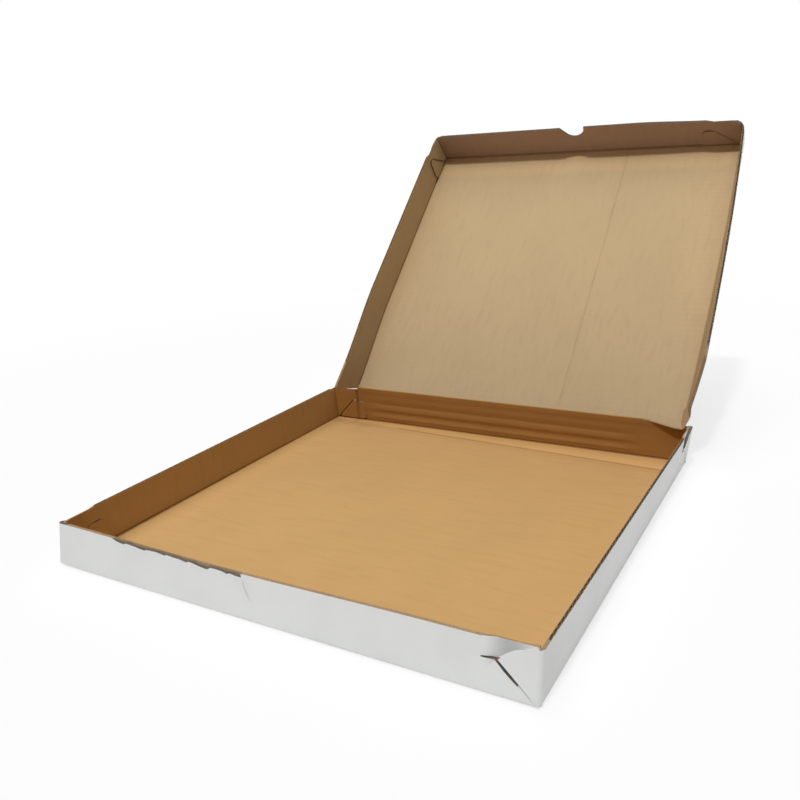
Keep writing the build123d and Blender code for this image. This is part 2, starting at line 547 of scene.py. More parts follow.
@dataclass(frozen=True)
class HollowShade:
    """Painted shade in a hollow of a wall's end, above the curved edge of the tab that holds it down: grey
    where the wall bends inward.
    """

    corner: float
    foot: float
    height: float
    near: float = FOLD_OUT
    far: float = SLIT_RUN
    drop: float = 13.6 * MM
    crown: float = 2.0 * MM
    soft: tuple[float, float] = (0.1 * MM, 0.6 * MM)
    faint: float = 0.15
    fade_in: tuple[float, float] = (0.0, 0.7)
    fade_out: tuple[float, float] = (0.75, 1.35)

    def mask(self, shader: Shader, place: Socket) -> Socket:
        """Share of painted shade at a place of the sheet.

        Args:
            shader: material that gets the hollow.
            place: place on the unfolded sheet.

        Returns:
            The share, from 0 to 1.
        """
        across, along, _ = shader.parts(place)
        run = shader.math("SUBTRACT", self.corner, across)
        level = shader.math("SUBTRACT", self.foot, along)
        share = shader.math("DIVIDE", shader.math("SUBTRACT", run, self.near), self.far - self.near)
        edge = shader.math("SUBTRACT", self.height, shader.math("MULTIPLY", share, self.drop))
        bulge = shader.math("MULTIPLY", share, shader.math("SUBTRACT", 1.0, share))
        edge = shader.math("ADD", edge, shader.math("MULTIPLY", bulge, 4.0 * self.crown))
        above = shader.ramp(shader.math("SUBTRACT", level, edge), *self.soft)
        begun = shader.ramp(share, *self.fade_in, self.faint, 1.0)
        fade = shader.math("MULTIPLY", begun, shader.ramp(share, *self.fade_out, 1.0, 0.0))
        return shader.math("MULTIPLY", above, fade)


@dataclass(frozen=True)
class WhiteFinish:
    """White outer liner: faint mottle, grey handling marks, a dent darkened with painted shade, and painted
    shade in a pressed hollow.
    """

    name: str
    dent: Dent
    # Painted shade of the pressed hollow
    press: HollowShade
    colour: Colour = (0.88, 0.89, 0.875)
    grey: float = 0.90
    shade: float = 0.62
    mottle: Speckle = Speckle((22.0, 14.0, 1.0), detail=5.0, start=0.42, full=0.72, share=0.35)
    smudge: Speckle = Speckle((9.0, 30.0, 1.0), detail=4.0, start=0.55, full=0.78, share=0.4)
    fibre: Speckle = Speckle((700.0, 420.0, 1.0), detail=2.0)
    roughness: tuple[float, float] = (0.46, 0.62)
    specular: float = 0.3
    ridges: float = 0.012 * MM
    fuzz: float = 0.02 * MM
    dent_depth: float = 0.5 * MM
    dent_shade: float = 0.32

    def material(self) -> Material:
        """Builds the node material.

        Returns:
            The material.
        """
        shader = Shader(self.name)
        place = shader.sheet()
        grey = toned(self.colour, self.grey)
        shade = toned(self.colour, self.shade)
        mottle = self.mottle.pattern(shader, place)
        dent = self.dent.mask(shader, place)
        colour = self.mottle.lay(shader, mottle, toned(self.colour), grey)
        colour = self.smudge.lay(shader, self.smudge.pattern(shader, place), colour, grey)
        # Painted shade in the pressed hollow and along the dent
        colour = shader.tint(self.press.mask(shader, place), colour, shade)
        colour = shader.tint(shader.math("MULTIPLY", dent, self.dent_shade), colour, shade)
        roughness = shader.ramp(mottle, *NOISE_RANGE, *self.roughness)
        normal = shader.washboard(place, self.ridges)
        normal = shader.bump(self.fibre.pattern(shader, place), self.fuzz, normal)
        normal = shader.bump(dent, -self.dent_depth, normal)
        return shader.dress(colour, roughness, self.specular, normal)


@dataclass(frozen=True)
class CutFinish:
    """Raw cut or torn card with loose fibres. In dark colours it also serves as painted shade in gaps and on
    the lid's cut edges.
    """

    name: str
    colour: Colour
    dark: float = 0.6
    fibre: Speckle = Speckle((900.0, 900.0, 900.0), detail=3.0, start=0.4, full=0.7, share=0.8)
    mottle: Speckle = Speckle((60.0, 60.0, 60.0), detail=2.0, start=0.4, full=0.7, share=0.4)
    roughness: tuple[float, float] = (0.85, 0.95)
    specular: float = 0.1
    fuzz: float = 0.12 * MM

    def material(self) -> Material:
        """Builds the node material.

        Returns:
            The material.
        """
        shader = Shader(self.name)
        place = shader.add("TexCoord").outputs["Object"]
        dark = toned(self.colour, self.dark)
        fibre = self.fibre.pattern(shader, place)
        colour = self.fibre.lay(shader, fibre, toned(self.colour), dark)
        colour = self.mottle.lay(shader, self.mottle.pattern(shader, place), colour, dark)
        roughness = shader.ramp(fibre, *NOISE_RANGE, *self.roughness)
        return shader.dress(colour, roughness, self.specular, shader.bump(fibre, self.fuzz))


@dataclass(frozen=True)
class Finishes:
    """Materials of the box."""

    tray_kraft: Material
    lid_kraft: Material
    white: Material
    cut: Material
    # Darker copy of the cut edge for the lid: painted shade
    shaded_lid_cut: Material
    # Painted shade for slits, hooks, open corners and the torn ledge
    shade_in_gaps: Material
    bared: Material
    medium: Material


@dataclass(frozen=True)
class CutRun:
    """A straight stretch of a side wall's open edge, where the flutes show between the liners."""

    wall: Wall
    start: float
    end: float


@dataclass
class FoldedTray:
    """A panel of card with walls folded up from its edges, dressed from its solid."""

    node: str
    body: str
    slot: str
    place: CardFrame
    left: float
    right: float
    front: float
    rear: float
    height: float
    tip_press: float = 0.45

    def warp(self, local: Array) -> Array:
        """Moves points of the true folded form to where the used card has sprung or sagged."""
        raise NotImplementedError

    def walls(self) -> dict[Wall, tuple[Axis, float, float]]:
        """Walls of this tray: axis, outside plane and outward sign of each."""
        raise NotImplementedError

    def locks(self) -> list[tuple[Axis, float, float]]:
        """Corner locks of this tray: wall's axis, outside plane of the wall, and corner along it."""
        raise NotImplementedError

    def parted(self, piece: Piece) -> list[Piece]:
        """Parts of the card that move in their own way, the card itself first."""
        return [piece]

    def card(self, name: str, finishes: list[Material], runs: list[CutRun]) -> list[Piece]:
        """Builds the card of this tray over its solid.

        Args:
            name: name of the piece.
            finishes: materials in the order of Liner.
            runs: stretches of open edge that get a trough between the liners.

        Returns:
            The finished piece, and any wall of it that moves apart from it.
        """
        piece = self.merged_copy(name)
        for finish in finishes:
            piece.data.materials.append(finish)
        self.cut_grid(piece)
        self.sort_faces(piece)
        for run in runs:
            self.open_edge(piece, run)
        bpy.ops.object.mode_set(mode="OBJECT")
        parts = self.parted(piece)
        for part in parts:
            select_only(part)
            self.sprung(part)
            bpy.ops.object.shade_smooth_by_angle(angle=CARD_ANGLE)
            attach(part, self.body)
        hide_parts(self.node)
        return parts

    def merged_copy(self, name: str) -> Piece:
        """Copies the solid's mesh to a new piece, with its triangles joined into flat faces.

        Args:
            name: name of the piece.

        Returns:
            The piece, in edit mode.
        """
        mesh = frame["nodes"][self.node].data.copy()
        mesh.materials.clear()
        piece = bpy.data.objects.new(name, mesh)
        bpy.context.scene.collection.objects.link(piece)
        select_only(piece)
        bpy.ops.object.mode_set(mode="EDIT")
        bpy.ops.mesh.select_all(action="SELECT")
        bpy.ops.mesh.customdata_custom_splitnormals_clear()
        bpy.ops.mesh.remove_doubles(threshold=MERGE)
        bpy.ops.mesh.dissolve_limited(angle_limit=FLAT_ANGLE)
        return piece

    def cut_grid(self, piece: Piece) -> None:
        """Bisects the card into a grid that is fine enough to bend smoothly.

        Args:
            piece: the card, in edit mode.
        """
        spans = ((self.left, self.right), (self.front, self.rear), (0.0, self.height))
        steps = (GRID_STEP, GRID_STEP, LEVEL_STEP)
        for axis, ((low, high), step) in enumerate(zip(spans, steps)):
            count = max(2, round((high - low) / step))
            for cut in range(1, count):
                bpy.ops.mesh.select_all(action="SELECT")
                self.bisect(axis, mix(low, high, cut / count))

    def bisect(self, axis: int, position: float) -> None:
        """Cuts the selected faces across an axis of the tray."""
        normal = self.place.direction(Vector([float(axis == other) for other in range(3)]))
        bpy.ops.mesh.bisect(plane_co=self.place.origin + normal * position, plane_no=normal)

    def faces_of(self, piece: Piece) -> tuple[Array, Array]:
        """Faces of a piece in the tray's frame, read in object mode.

        Args:
            piece: the active mesh piece.

        Returns:
            Rows of the middles of the faces, and rows of their normals.
        """
        bpy.ops.object.mode_set(mode="OBJECT")
        count = len(piece.data.polygons)
        centres = np.empty(count * 3)
        normals = np.empty(count * 3)
        piece.data.polygons.foreach_get("center", centres)
        piece.data.polygons.foreach_get("normal", normals)
        return self.place.to_local(centres.reshape(-1, 3)), normals.reshape(-1, 3) @ self.place.axes().T

    def sort_faces(self, piece: Piece) -> None:
        """Gives each face its liner, and its place on the unfolded sheet.

        Args:
            piece: the card.
        """
        centres, normals = self.faces_of(piece)
        mesh = piece.data
        corners = self.place.to_local(points_of(piece))
        layer = mesh.uv_layers.new(name="sheet")
        liners = np.empty(len(mesh.polygons), np.int32)
        for face in mesh.polygons:
            wall, liners[face.index] = self.side_of(centres[face.index], normals[face.index])
            for loop in face.loop_indices:
                corner = corners[mesh.loops[loop].vertex_index]
                layer.data[loop].uv = self.unfolded(wall, corner)
        mesh.polygons.foreach_set("material_index", liners)

    def side_of(self, centre: Array, normal: Array) -> tuple[Wall, Liner]:
        """Part of the sheet and side of the card that a face belongs to.

        Args:
            centre: middle of the face in the tray's frame.
            normal: its direction in the same frame.

        Returns:
            The wall, and the liner or the cut edge.
        """
        best, outward = Wall.FLOOR, 0.0
        if centre[2] < FOLD_OUT + NEAR:
            outward = -normal[2]
        for wall, (axis, plane, sign) in self.walls().items():
            depth = sign * (plane - centre[axis])
            if depth < STACK and abs(normal[axis]) > abs(outward):
                best, outward = wall, sign * normal[axis]
            # Upward faces inside a wall at the top of its fold, where a slit ends, take painted shade.
            if 0.0 < depth < BOARD and normal[2] > SQUARE and abs(centre[2] - FOLD_OUT) < NEAR:
                return wall, Liner.GAP_SHADE
        if abs(outward) < EDGEWISE:
            # Cut faces in a slit or hook take painted shade.
            return best, Liner.GAP_SHADE if self.in_slit(centre) else Liner.CUT
        return best, Liner.OUTER if outward > 0 else Liner.INNER

    def in_slit(self, centre: Array) -> bool:
        """Tells whether a place lies in the slit or the hook of a corner lock.

        Args:
            centre: the place, in the tray's frame.

        Returns:
            True in a slit or a hook.
        """
        level = centre[2]
        for axis, plane, corner in self.locks():
            run = abs(corner - centre[1 - axis])
            if abs(plane - centre[axis]) > BOARD + NEAR:
                continue
            diagonal = abs(run - level - SLIT_RUN + SLIT_RISE) < SLIT_HALF and level < SLIT_RISE + SLIT_SLACK
            hooked = SLIT_RUN - SLIT_SLACK < run < SLIT_RUN + HOOK + SLIT_SLACK
            if diagonal or (hooked and abs(level - SLIT_RISE) < SLIT_SLACK):
                return True
        return False

    def unfolded(self, wall: Wall, corner: Array) -> tuple[float, float]:
        """Place of a corner on the sheet laid flat.

        Args:
            wall: part of the sheet that the corner's face belongs to.
            corner: the corner, in the tray's frame.

        Returns:
            Its places across and along the sheet.
        """
        across, along, up = corner
        if wall is Wall.FLOOR:
            return across, along
        axis, plane, sign = self.walls()[wall]
        laid = plane + sign * up
        return (laid, along) if axis is Axis.ACROSS else (across, laid)

    def open_edge(self, piece: Piece, run: CutRun) -> None:
        """Insets and sinks a stretch of open edge, so that two liners stand beside a trough.

        Args:
            piece: the card, which is left in edit mode.
            run: the stretch of edge.
        """
        axis, plane, sign = self.walls()[run.wall]
        centres, normals = self.faces_of(piece)
        inside = sign * (plane - centres[:, axis])
        wanted = (inside > 0.0) & (inside < BOARD) & (normals[:, 2] > SQUARE)
        wanted &= abs(centres[:, 2] - self.height) < NEAR
        wanted &= (centres[:, 1 - axis] > run.start) & (centres[:, 1 - axis] < run.end)
        select_faces(piece, wanted)
        bpy.ops.mesh.inset(thickness=LINER, depth=0.0, use_boundary=True, use_even_offset=True)
        down = self.place.direction(Vector((0.0, 0.0, -BOARD)))
        bpy.ops.mesh.extrude_region_move(TRANSFORM_OT_translate={"value": down})

    def flutes(self, name: str, runs: list[CutRun], finish: Material) -> Piece:
        """Wavy paper that shows between the liners of the open edges.

        Args:
            name: name of the piece.
            runs: stretches of open edge.
            finish: material of the fluted paper.

        Returns:
            The finished piece.
        """
        ribbons = [self.ribbon(run) for run in runs]
        for ribbon in ribbons:
            ribbon.select_set(True)
        bpy.context.view_layer.objects.active = ribbons[0]
        bpy.ops.object.join()
        piece = bpy.context.object
        piece.name = name
        piece.data.materials.clear()
        piece.data.materials.append(finish)
        thicken(piece, MEDIUM)
        self.sprung(piece)
        bpy.ops.object.shade_smooth_by_angle(angle=FLUTE_ANGLE)
        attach(piece, self.body)
        return piece

    def ribbon(self, run: CutRun) -> Piece:
        """One strip of fluted paper in the trough of an open edge.

        Args:
            run: the stretch of edge.

        Returns:
            The strip, before the card's spring and sag.
        """
        axis, plane, sign = self.walls()[run.wall]
        strip, share = paper_grid(round((run.end - run.start) / FLUTE_PITCH * FLUTE_STEPS), FLUTE_ROWS)
        swing = (BOARD - 2.0 * LINER - MEDIUM) / 2.0
        position = mix(run.start, run.end, share[:, 0])
        local = np.empty_like(share)
        local[:, 1 - axis] = position
        wave = np.sin(2.0 * math.pi * position / FLUTE_PITCH)
        local[:, axis] = plane - sign * (BOARD / 2.0 + swing * wave)
        local[:, 2] = self.height - mix(FLUTE_SINK, BOARD - LINER / 2.0, share[:, 1])
        set_points(strip, self.place.to_world(local))
        return strip

    def crushed(self, local: Array) -> Array:
        """Presses the tips and flaps that lie inside the walls at the corner locks.

        Args:
            local: points in the tray's frame.

        Returns:
            The moved points.
        """
        moved = local.copy()
        for axis, plane, corner in self.locks():
            inward = 1.0 if plane < 0.0 else -1.0
            depth = inward * (local[:, axis] - plane)
            run = abs(corner - local[:, 1 - axis])
            inside = (depth > BOARD + NEAR) & (depth < STACK) & (local[:, 2] > FOLD_OUT + NEAR)
            inside &= (run > STACK) & (run < LOCK_REACH)
            moved[inside, axis] = plane + inward * (BOARD + self.tip_press * (depth[inside] - BOARD))
        return moved

    def sprung(self, piece: Piece) -> None:
        """Applies the warp to every point of a piece."""
        local = self.crushed(self.place.to_local(points_of(piece)))
        set_points(piece, self.place.to_world(self.warp(local)))


@dataclass
class BaseTray(FoldedTray):
    """Tray with four walls. Its walls lean, its front edge sags and is torn, and a corner is crushed."""

    lean_right: tuple[float, float] = (3.0, 8.0)
    lean_left: tuple[float, float] = (-5.0, 2.0)
    lean_front: float = 3.0
    lean_run: float = 40.0 * MM
    front_sag: float = 2.0 * MM
    sag_middle: float = -30.0 * MM
    sag_half: float = 170.0 * MM
    crush: tuple[float, float] = (6.0 * MM, 1.0 * MM)
    tab_crown: float = 2.0 * MM
    tab_edge_half: float = 0.8 * MM
    tab_inside: float = 0.6 * BOARD
    tab_turn: float = 0.55 * BOARD
    slit_close: tuple[float, ...] = (1.25 * MM, 1.2 * MM, 0.5 * MM, 0.1 * MM, 0.7 * MM)
    slit_levels: tuple[float, ...] = (3.0 * MM, 9.0 * MM, 13.0 * MM, 18.0 * MM, 24.0 * MM)
    slit_side: tuple[float, float] = (0.9 * MM, 1.7 * MM)
    slit_shut: float = 10.0 * MM
    tear: tuple[float, float] = (-136.0 * MM, -11.0 * MM)
    tear_height: float = 8.0 * MM
    tear_depth: float = 3.6 * MM
    tear_skin: float = 0.8 * MM
    tear_skin_half: float = 0.24 * MM
    tear_sink: float = 1.1 * MM
    tear_slack: float = 1.0 * MM
    tear_cuts: int = 90
    teeth: tuple[float, ...] = (
        0.0, 0.03, 0.10, 0.115, 0.19, 0.27, 0.285, 0.36, 0.43, 0.45, 0.55,
        0.60, 0.62, 0.70, 0.76, 0.775, 0.86, 0.90, 0.915, 0.97, 1.0,
    )
    tooth_depths: tuple[float, ...] = (
        0.6, 1.7, 2.7, 1.4, 2.0, 2.8, 1.8, 1.5, 2.6, 1.3, 1.8,
        2.8, 1.6, 2.3, 3.1, 1.6, 2.2, 3.2, 2.0, 2.9, 3.4,
    )
    rear_wave: tuple[float, float] = (0.55 * MM, 10.5 * MM)
    wave_foot: tuple[float, float] = (FOLD_OUT, 8.0 * MM)
    wave_top: tuple[float, float] = (22.0 * MM, 30.0 * MM)
    wave_ends: tuple[float, float] = (130.0 * MM, 165.0 * MM)
    rear_sag: float = 2.0 * MM
    rear_sag_start: tuple[float, float] = (155.0 * MM, 187.0 * MM)
    rear_sag_end: tuple[float, float] = (190.0 * MM, 198.0 * MM)
    floor_crease: float = 17.0 * MM
    floor_groove: float = 0.3 * BOARD
    rear_groove: float = 0.7 * BOARD

    def walls(self) -> dict[Wall, tuple[Axis, float, float]]:
        """Walls of this tray: axis, outside plane and outward sign of each."""
        return {
            Wall.LEFT: (Axis.ACROSS, self.left, -1.0),
            Wall.RIGHT: (Axis.ACROSS, self.right, 1.0),
            Wall.FRONT: (Axis.ALONG, self.front, -1.0),
            Wall.REAR: (Axis.ALONG, self.rear, 1.0),
        }

    def locks(self) -> list[tuple[Axis, float, float]]:
        """Corner locks of this tray: wall's axis, outside plane of the wall, and corner along it."""
        return [
            (Axis.ALONG, self.front, self.right),
            (Axis.ACROSS, self.left, self.front),
            (Axis.ALONG, self.rear, self.left),
            (Axis.ACROSS, self.right, self.rear),
        ]

    def kraft(self) -> KraftFinish:
        """Brown liner with painted light and shade: darker to the rear, a painted highlight on a pale strip
        and painted shade in a soft crease before the rear wall, painted shade in the folds and a darker rear
        wall.

        Returns:
            The finish.
        """
        floor = (self.left + FOLD_OUT, self.right - FOLD_OUT)
        crease = (-110.0 * MM, self.right - FOLD_OUT)
        slant = -0.048
        # Tone of the painted shade in the folds
        fold = (0.60, 0.50, 0.32)
        painted_shading = (
            # Painted shade: the floor and the rear wall darker towards the rear
            Band(Axis.ALONG, start=50.0 * MM, end=PAST_SHEET, soft=170.0 * MM, tone=(0.84, 0.82, 0.80)),
            # Painted light: a pale strip on the slope of the floor's crease before the rear wall
            Band(Axis.ALONG, start=self.rear - 19.5 * MM, end=self.rear - 4.2 * MM, soft=1.2 * MM,
                 tone=(1.17, 1.14, 1.10), span=floor, slopes=(slant, 0.0)),
            # Painted shade in the line of the floor's crease
            Band(Axis.ALONG, start=self.rear - 22.0 * MM, end=self.rear - 19.4 * MM, soft=1.1 * MM,
                 tone=(0.76, 0.72, 0.66), span=crease, slopes=(slant, slant)),
            # Painted shade: a soft darker zone in front of the crease
            Band(Axis.ALONG, start=self.rear - 30.0 * MM, end=self.rear - 20.0 * MM, soft=4.5 * MM,
                 tone=(0.94, 0.93, 0.91), span=floor, slopes=(slant, slant)),
            # Painted shade in the fold at the foot of the rear wall
            Band(Axis.ALONG, start=self.rear - 3.4 * MM, end=self.rear + 4.0 * MM, soft=0.4 * MM,
                 tone=fold, span=floor),
            # Painted shade: the rear wall darker
            Band(Axis.ALONG, start=self.rear + 3.0 * MM, end=PAST_SHEET, soft=0.5 * MM,
                 tone=(0.88, 0.73, 0.53)),
            # Painted shade in the fold at the foot of the left wall
            Band(Axis.ACROSS, start=self.left - 4.0 * MM, end=self.left + 3.4 * MM, soft=0.4 * MM,
                 tone=fold, span=(self.front + FOLD_OUT, self.rear)),
        )
        return KraftFinish("tray_kraft", colour=(0.565, 0.342, 0.137), grain=(22.0, 190.0), painted_shading=painted_shading)

    def white(self) -> WhiteFinish:
        """White liner, with a dent and a pressed hollow in the front wall, both darkened with painted shade.

        Returns:
            The finish.
        """
        dent = Dent(
            across=-10.0 * MM, start=self.front - 33.0 * MM, end=self.front - 15.0 * MM, drift=7.0 * MM,
        )
        return WhiteFinish("white_liner", dent, HollowShade(self.right, self.front, self.height))

    def build(self, finishes: Finishes) -> list[Piece]:
        """Builds the card, and the flutes in the open edges of its side walls.

        Args:
            finishes: materials of the box.

        Returns:
            The finished pieces.
        """
        runs = [
            CutRun(Wall.LEFT, self.front + LOCK_LENGTH, self.rear - BEND),
            CutRun(Wall.RIGHT, self.front + BEND, self.rear - LOCK_LENGTH),
        ]
        liners = [finishes.white, finishes.tray_kraft, finishes.cut, finishes.shade_in_gaps, finishes.bared]
        return [*self.card("tray_card", liners, runs), self.flutes("tray_flutes", runs, finishes.medium)]

    def in_tear(self, local: Array) -> Array:
        """Picks the places on the bared board behind the torn paper of the front wall.

        Args:
            local: points in the tray's frame.

        Returns:
            True for each point on the bared board.
        """
        across, along, up = local.T
        bared = abs(along - self.front - self.tear_skin) < self.tear_skin_half
        inside = (across > self.tear[0] - self.tear_slack) & (across < self.tear[1] + NEAR)
        return bared & inside & (up > self.height - self.tear_height)

    def side_of(self, centre: Array, normal: Array) -> tuple[Wall, Liner]:
        """Part of the sheet and side of the card, with the bared board, and painted shade on the torn ledge
        and the open corners.

        Args:
            centre: middle of the face in the tray's frame.
            normal: its direction in the same frame.

        Returns:
            The wall, and the liner or the cut edge.
        """
        across, along, up = centre
        if normal[1] < -SQUARE and self.in_tear(centre[None])[0]:
            return Wall.FRONT, Liner.BARED
        wall, liner = super().side_of(centre, normal)
        in_front = along < self.front + BOARD
        if liner is Liner.CUT and normal[2] > RISING:
            torn = in_front and self.tear[0] < across < self.tear[1] and up < self.height - NEAR
            front_left = along < self.front + STACK and across < self.left + 2.0 * STACK
            rear_right = across > self.right - BOARD and along > self.rear - SLIT_RUN
            # The torn ledge and the open corners take painted shade.
            if torn or front_left or rear_right:
                return wall, Liner.GAP_SHADE
            front_right = in_front and across > self.right - SLIT_RUN
            rear_left = along > self.rear - STACK and across < self.left + SLIT_RUN
            if front_right or rear_left:
                return wall, Liner.OUTER
        shut = along < self.front + BOARD + NEAR and across > self.right - SLIT_RUN and up < self.slit_shut
        if liner is Liner.GAP_SHADE and shut:
            return wall, Liner.OUTER
        return wall, liner

    def cut_grid(self, piece: Piece) -> None:
        """Bisects the card into a grid, with fine cuts along the torn edge.

        Args:
            piece: the card, in edit mode.
        """
        super().cut_grid(piece)
        for cut in range(self.tear_cuts + 1):
            across, along, up = self.faces_of(piece)[0].T
            torn = (along < self.front + BOARD + NEAR) & (up > self.height - self.tear_height)
            torn &= (across > self.tear[0] - GRID_STEP) & (across < self.tear[1] + GRID_STEP)
            select_faces(piece, torn)
            self.bisect(Axis.ACROSS, mix(*self.tear, cut / self.tear_cuts))

    def warp(self, local: Array) -> Array:
        """Leans the walls, sags and tears the front edge, buckles the rear wall and crushes a corner.

        Args:
            local: points of the true folded form, in the tray's frame.

        Returns:
            The moved points.
        """
        local = self.slit_closed(self.tab_turned(self.torn(local)))
        across, along, up = local.T
        rearward = (along - self.front) / (self.rear - self.front)
        rise = np.clip(up / self.height, 0.0, 1.0)
        right = smoothstep(across, self.right - self.lean_run, self.right - BOARD)
        left = smoothstep(-across, -self.left - self.lean_run, -self.left - BOARD)
        front = smoothstep(-along, -self.front - self.lean_run, -self.front - BOARD)
        moved = local.copy()
        moved[:, 0] += right * up * np.tan(np.radians(mix(*self.lean_right, rearward)))
        moved[:, 0] -= left * up * np.tan(np.radians(mix(*self.lean_left, rearward)))
        moved[:, 1] += front * up * math.tan(math.radians(self.lean_front))
        reach = np.clip((across - self.sag_middle) / self.sag_half, -1.0, 1.0)
        moved[:, 2] -= front * rise * self.front_sag * np.cos(reach * math.pi / 2.0) ** 2
        moved = self.rear_buckled(local, moved)
        corner = left * front * (1.0 - rise)
        moved[:, 0] -= self.crush[0] * corner
        moved[:, 2] += self.crush[1] * corner ** 3
        return moved

    def rear_buckled(self, local: Array, moved: Array) -> Array:
        """Levels the grooves at the rear, ripples the rear wall and presses its right end down.

        Args:
            local: points of the true folded form, in the tray's frame.
            moved: the same points, as far as they have moved.

        Returns:
            The moved points.
        """
        across, along, up = local.T
        depth = self.rear - along
        middle = 1.0 - smoothstep(abs(across), *self.wave_ends)
        groove = (abs(depth - self.floor_crease) < BOARD) & (up > self.floor_groove) & (up < BOARD)
        moved[groove & (abs(across) < self.right - FOLD_OUT), 2] = BOARD
        groove = (depth > self.rear_groove) & (depth < BOARD) & (middle > 0.0)
        moved[groove, 1] = self.rear - BOARD
        wall = smoothstep(along, self.rear - STACK, self.rear - BOARD)
        swell, pitch = self.rear_wave
        window = smoothstep(up, *self.wave_foot) * (1.0 - smoothstep(up, *self.wave_top))
        moved[:, 1] += wall * middle * swell * np.sin(2.0 * math.pi * up / pitch) * window
        pressed = smoothstep(across, *self.rear_sag_start) * (1.0 - smoothstep(across, *self.rear_sag_end))
        moved[:, 2] -= self.rear_sag * pressed * np.clip(up / self.height, 0.0, 1.0) ** 3 * wall
        return moved

    def torn(self, local: Array) -> Array:
        """Moves the torn line to ragged teeth, and sinks the bared board to the inner paper.

        Args:
            local: points in the tray's frame.

        Returns:
            The moved points.
        """
        across, along, up = local.T
        moved = local.copy()
        moved[self.in_tear(local), 1] += self.tear_sink
        share = (across - self.tear[0]) / (self.tear[1] - self.tear[0])
        inside = (share > 0.0) & (share < 1.0) & (along < self.front + BOARD)
        inside &= up > self.height - self.tear_height
        share = np.clip(share, 0.0, 1.0)
        tooth = np.interp(share, self.teeth, self.tooth_depths) * MM
        line = np.maximum(self.tear_depth * np.sqrt(share), NEAR)
        sunk = self.height - up
        above = (self.tear_height - sunk) / (self.tear_height - line)
        lower = self.tear_height - above * (self.tear_height - tooth)
        moved[inside, 2] = (self.height - np.where(sunk < line, sunk / line * tooth, lower))[inside]
        return moved

    def tab_turned(self, local: Array) -> Array:
        """Turns the curved top edge of the front tab down towards the inside, where it is pressed thin.

        Args:
            local: points in the tray's frame.

        Returns:
            The moved points.
        """
        across, along, up = local.T
        share = (self.right - across - FOLD_OUT) / (SLIT_RUN - FOLD_OUT)
        crown = 4.0 * self.tab_crown * share * (1.0 - share)
        edge = self.height - (self.height - SLIT_RISE) * share + crown
        depth = along - self.front
        inner = (abs(up - edge) < self.tab_edge_half) & (depth > self.tab_inside) & (depth < BOARD + NEAR)
        moved = local.copy()
        moved[inner & (share > 0.0) & (share < 1.0), 2] -= self.tab_turn
        return moved

    def slit_closed(self, local: Array) -> Array:
        """Draws the wall's side of the front slit towards the tab, more at its ends.

        Args:
            local: points in the tray's frame.

        Returns:
            The moved points.
        """
        across, along, up = local.T
        run = self.right - across
        offset = (run - up - SLIT_RUN + SLIT_RISE) / math.sqrt(2.0)
        edge = (offset > self.slit_side[0]) & (offset < self.slit_side[1])
        edge &= (along < self.front + BOARD + NEAR) & (up < SLIT_RISE)
        shift = np.where(edge, np.interp(up, self.slit_levels, self.slit_close), 0.0) / math.sqrt(2.0)
        moved = local.copy()
        moved[:, 0] += shift
        moved[:, 2] += shift
        return moved


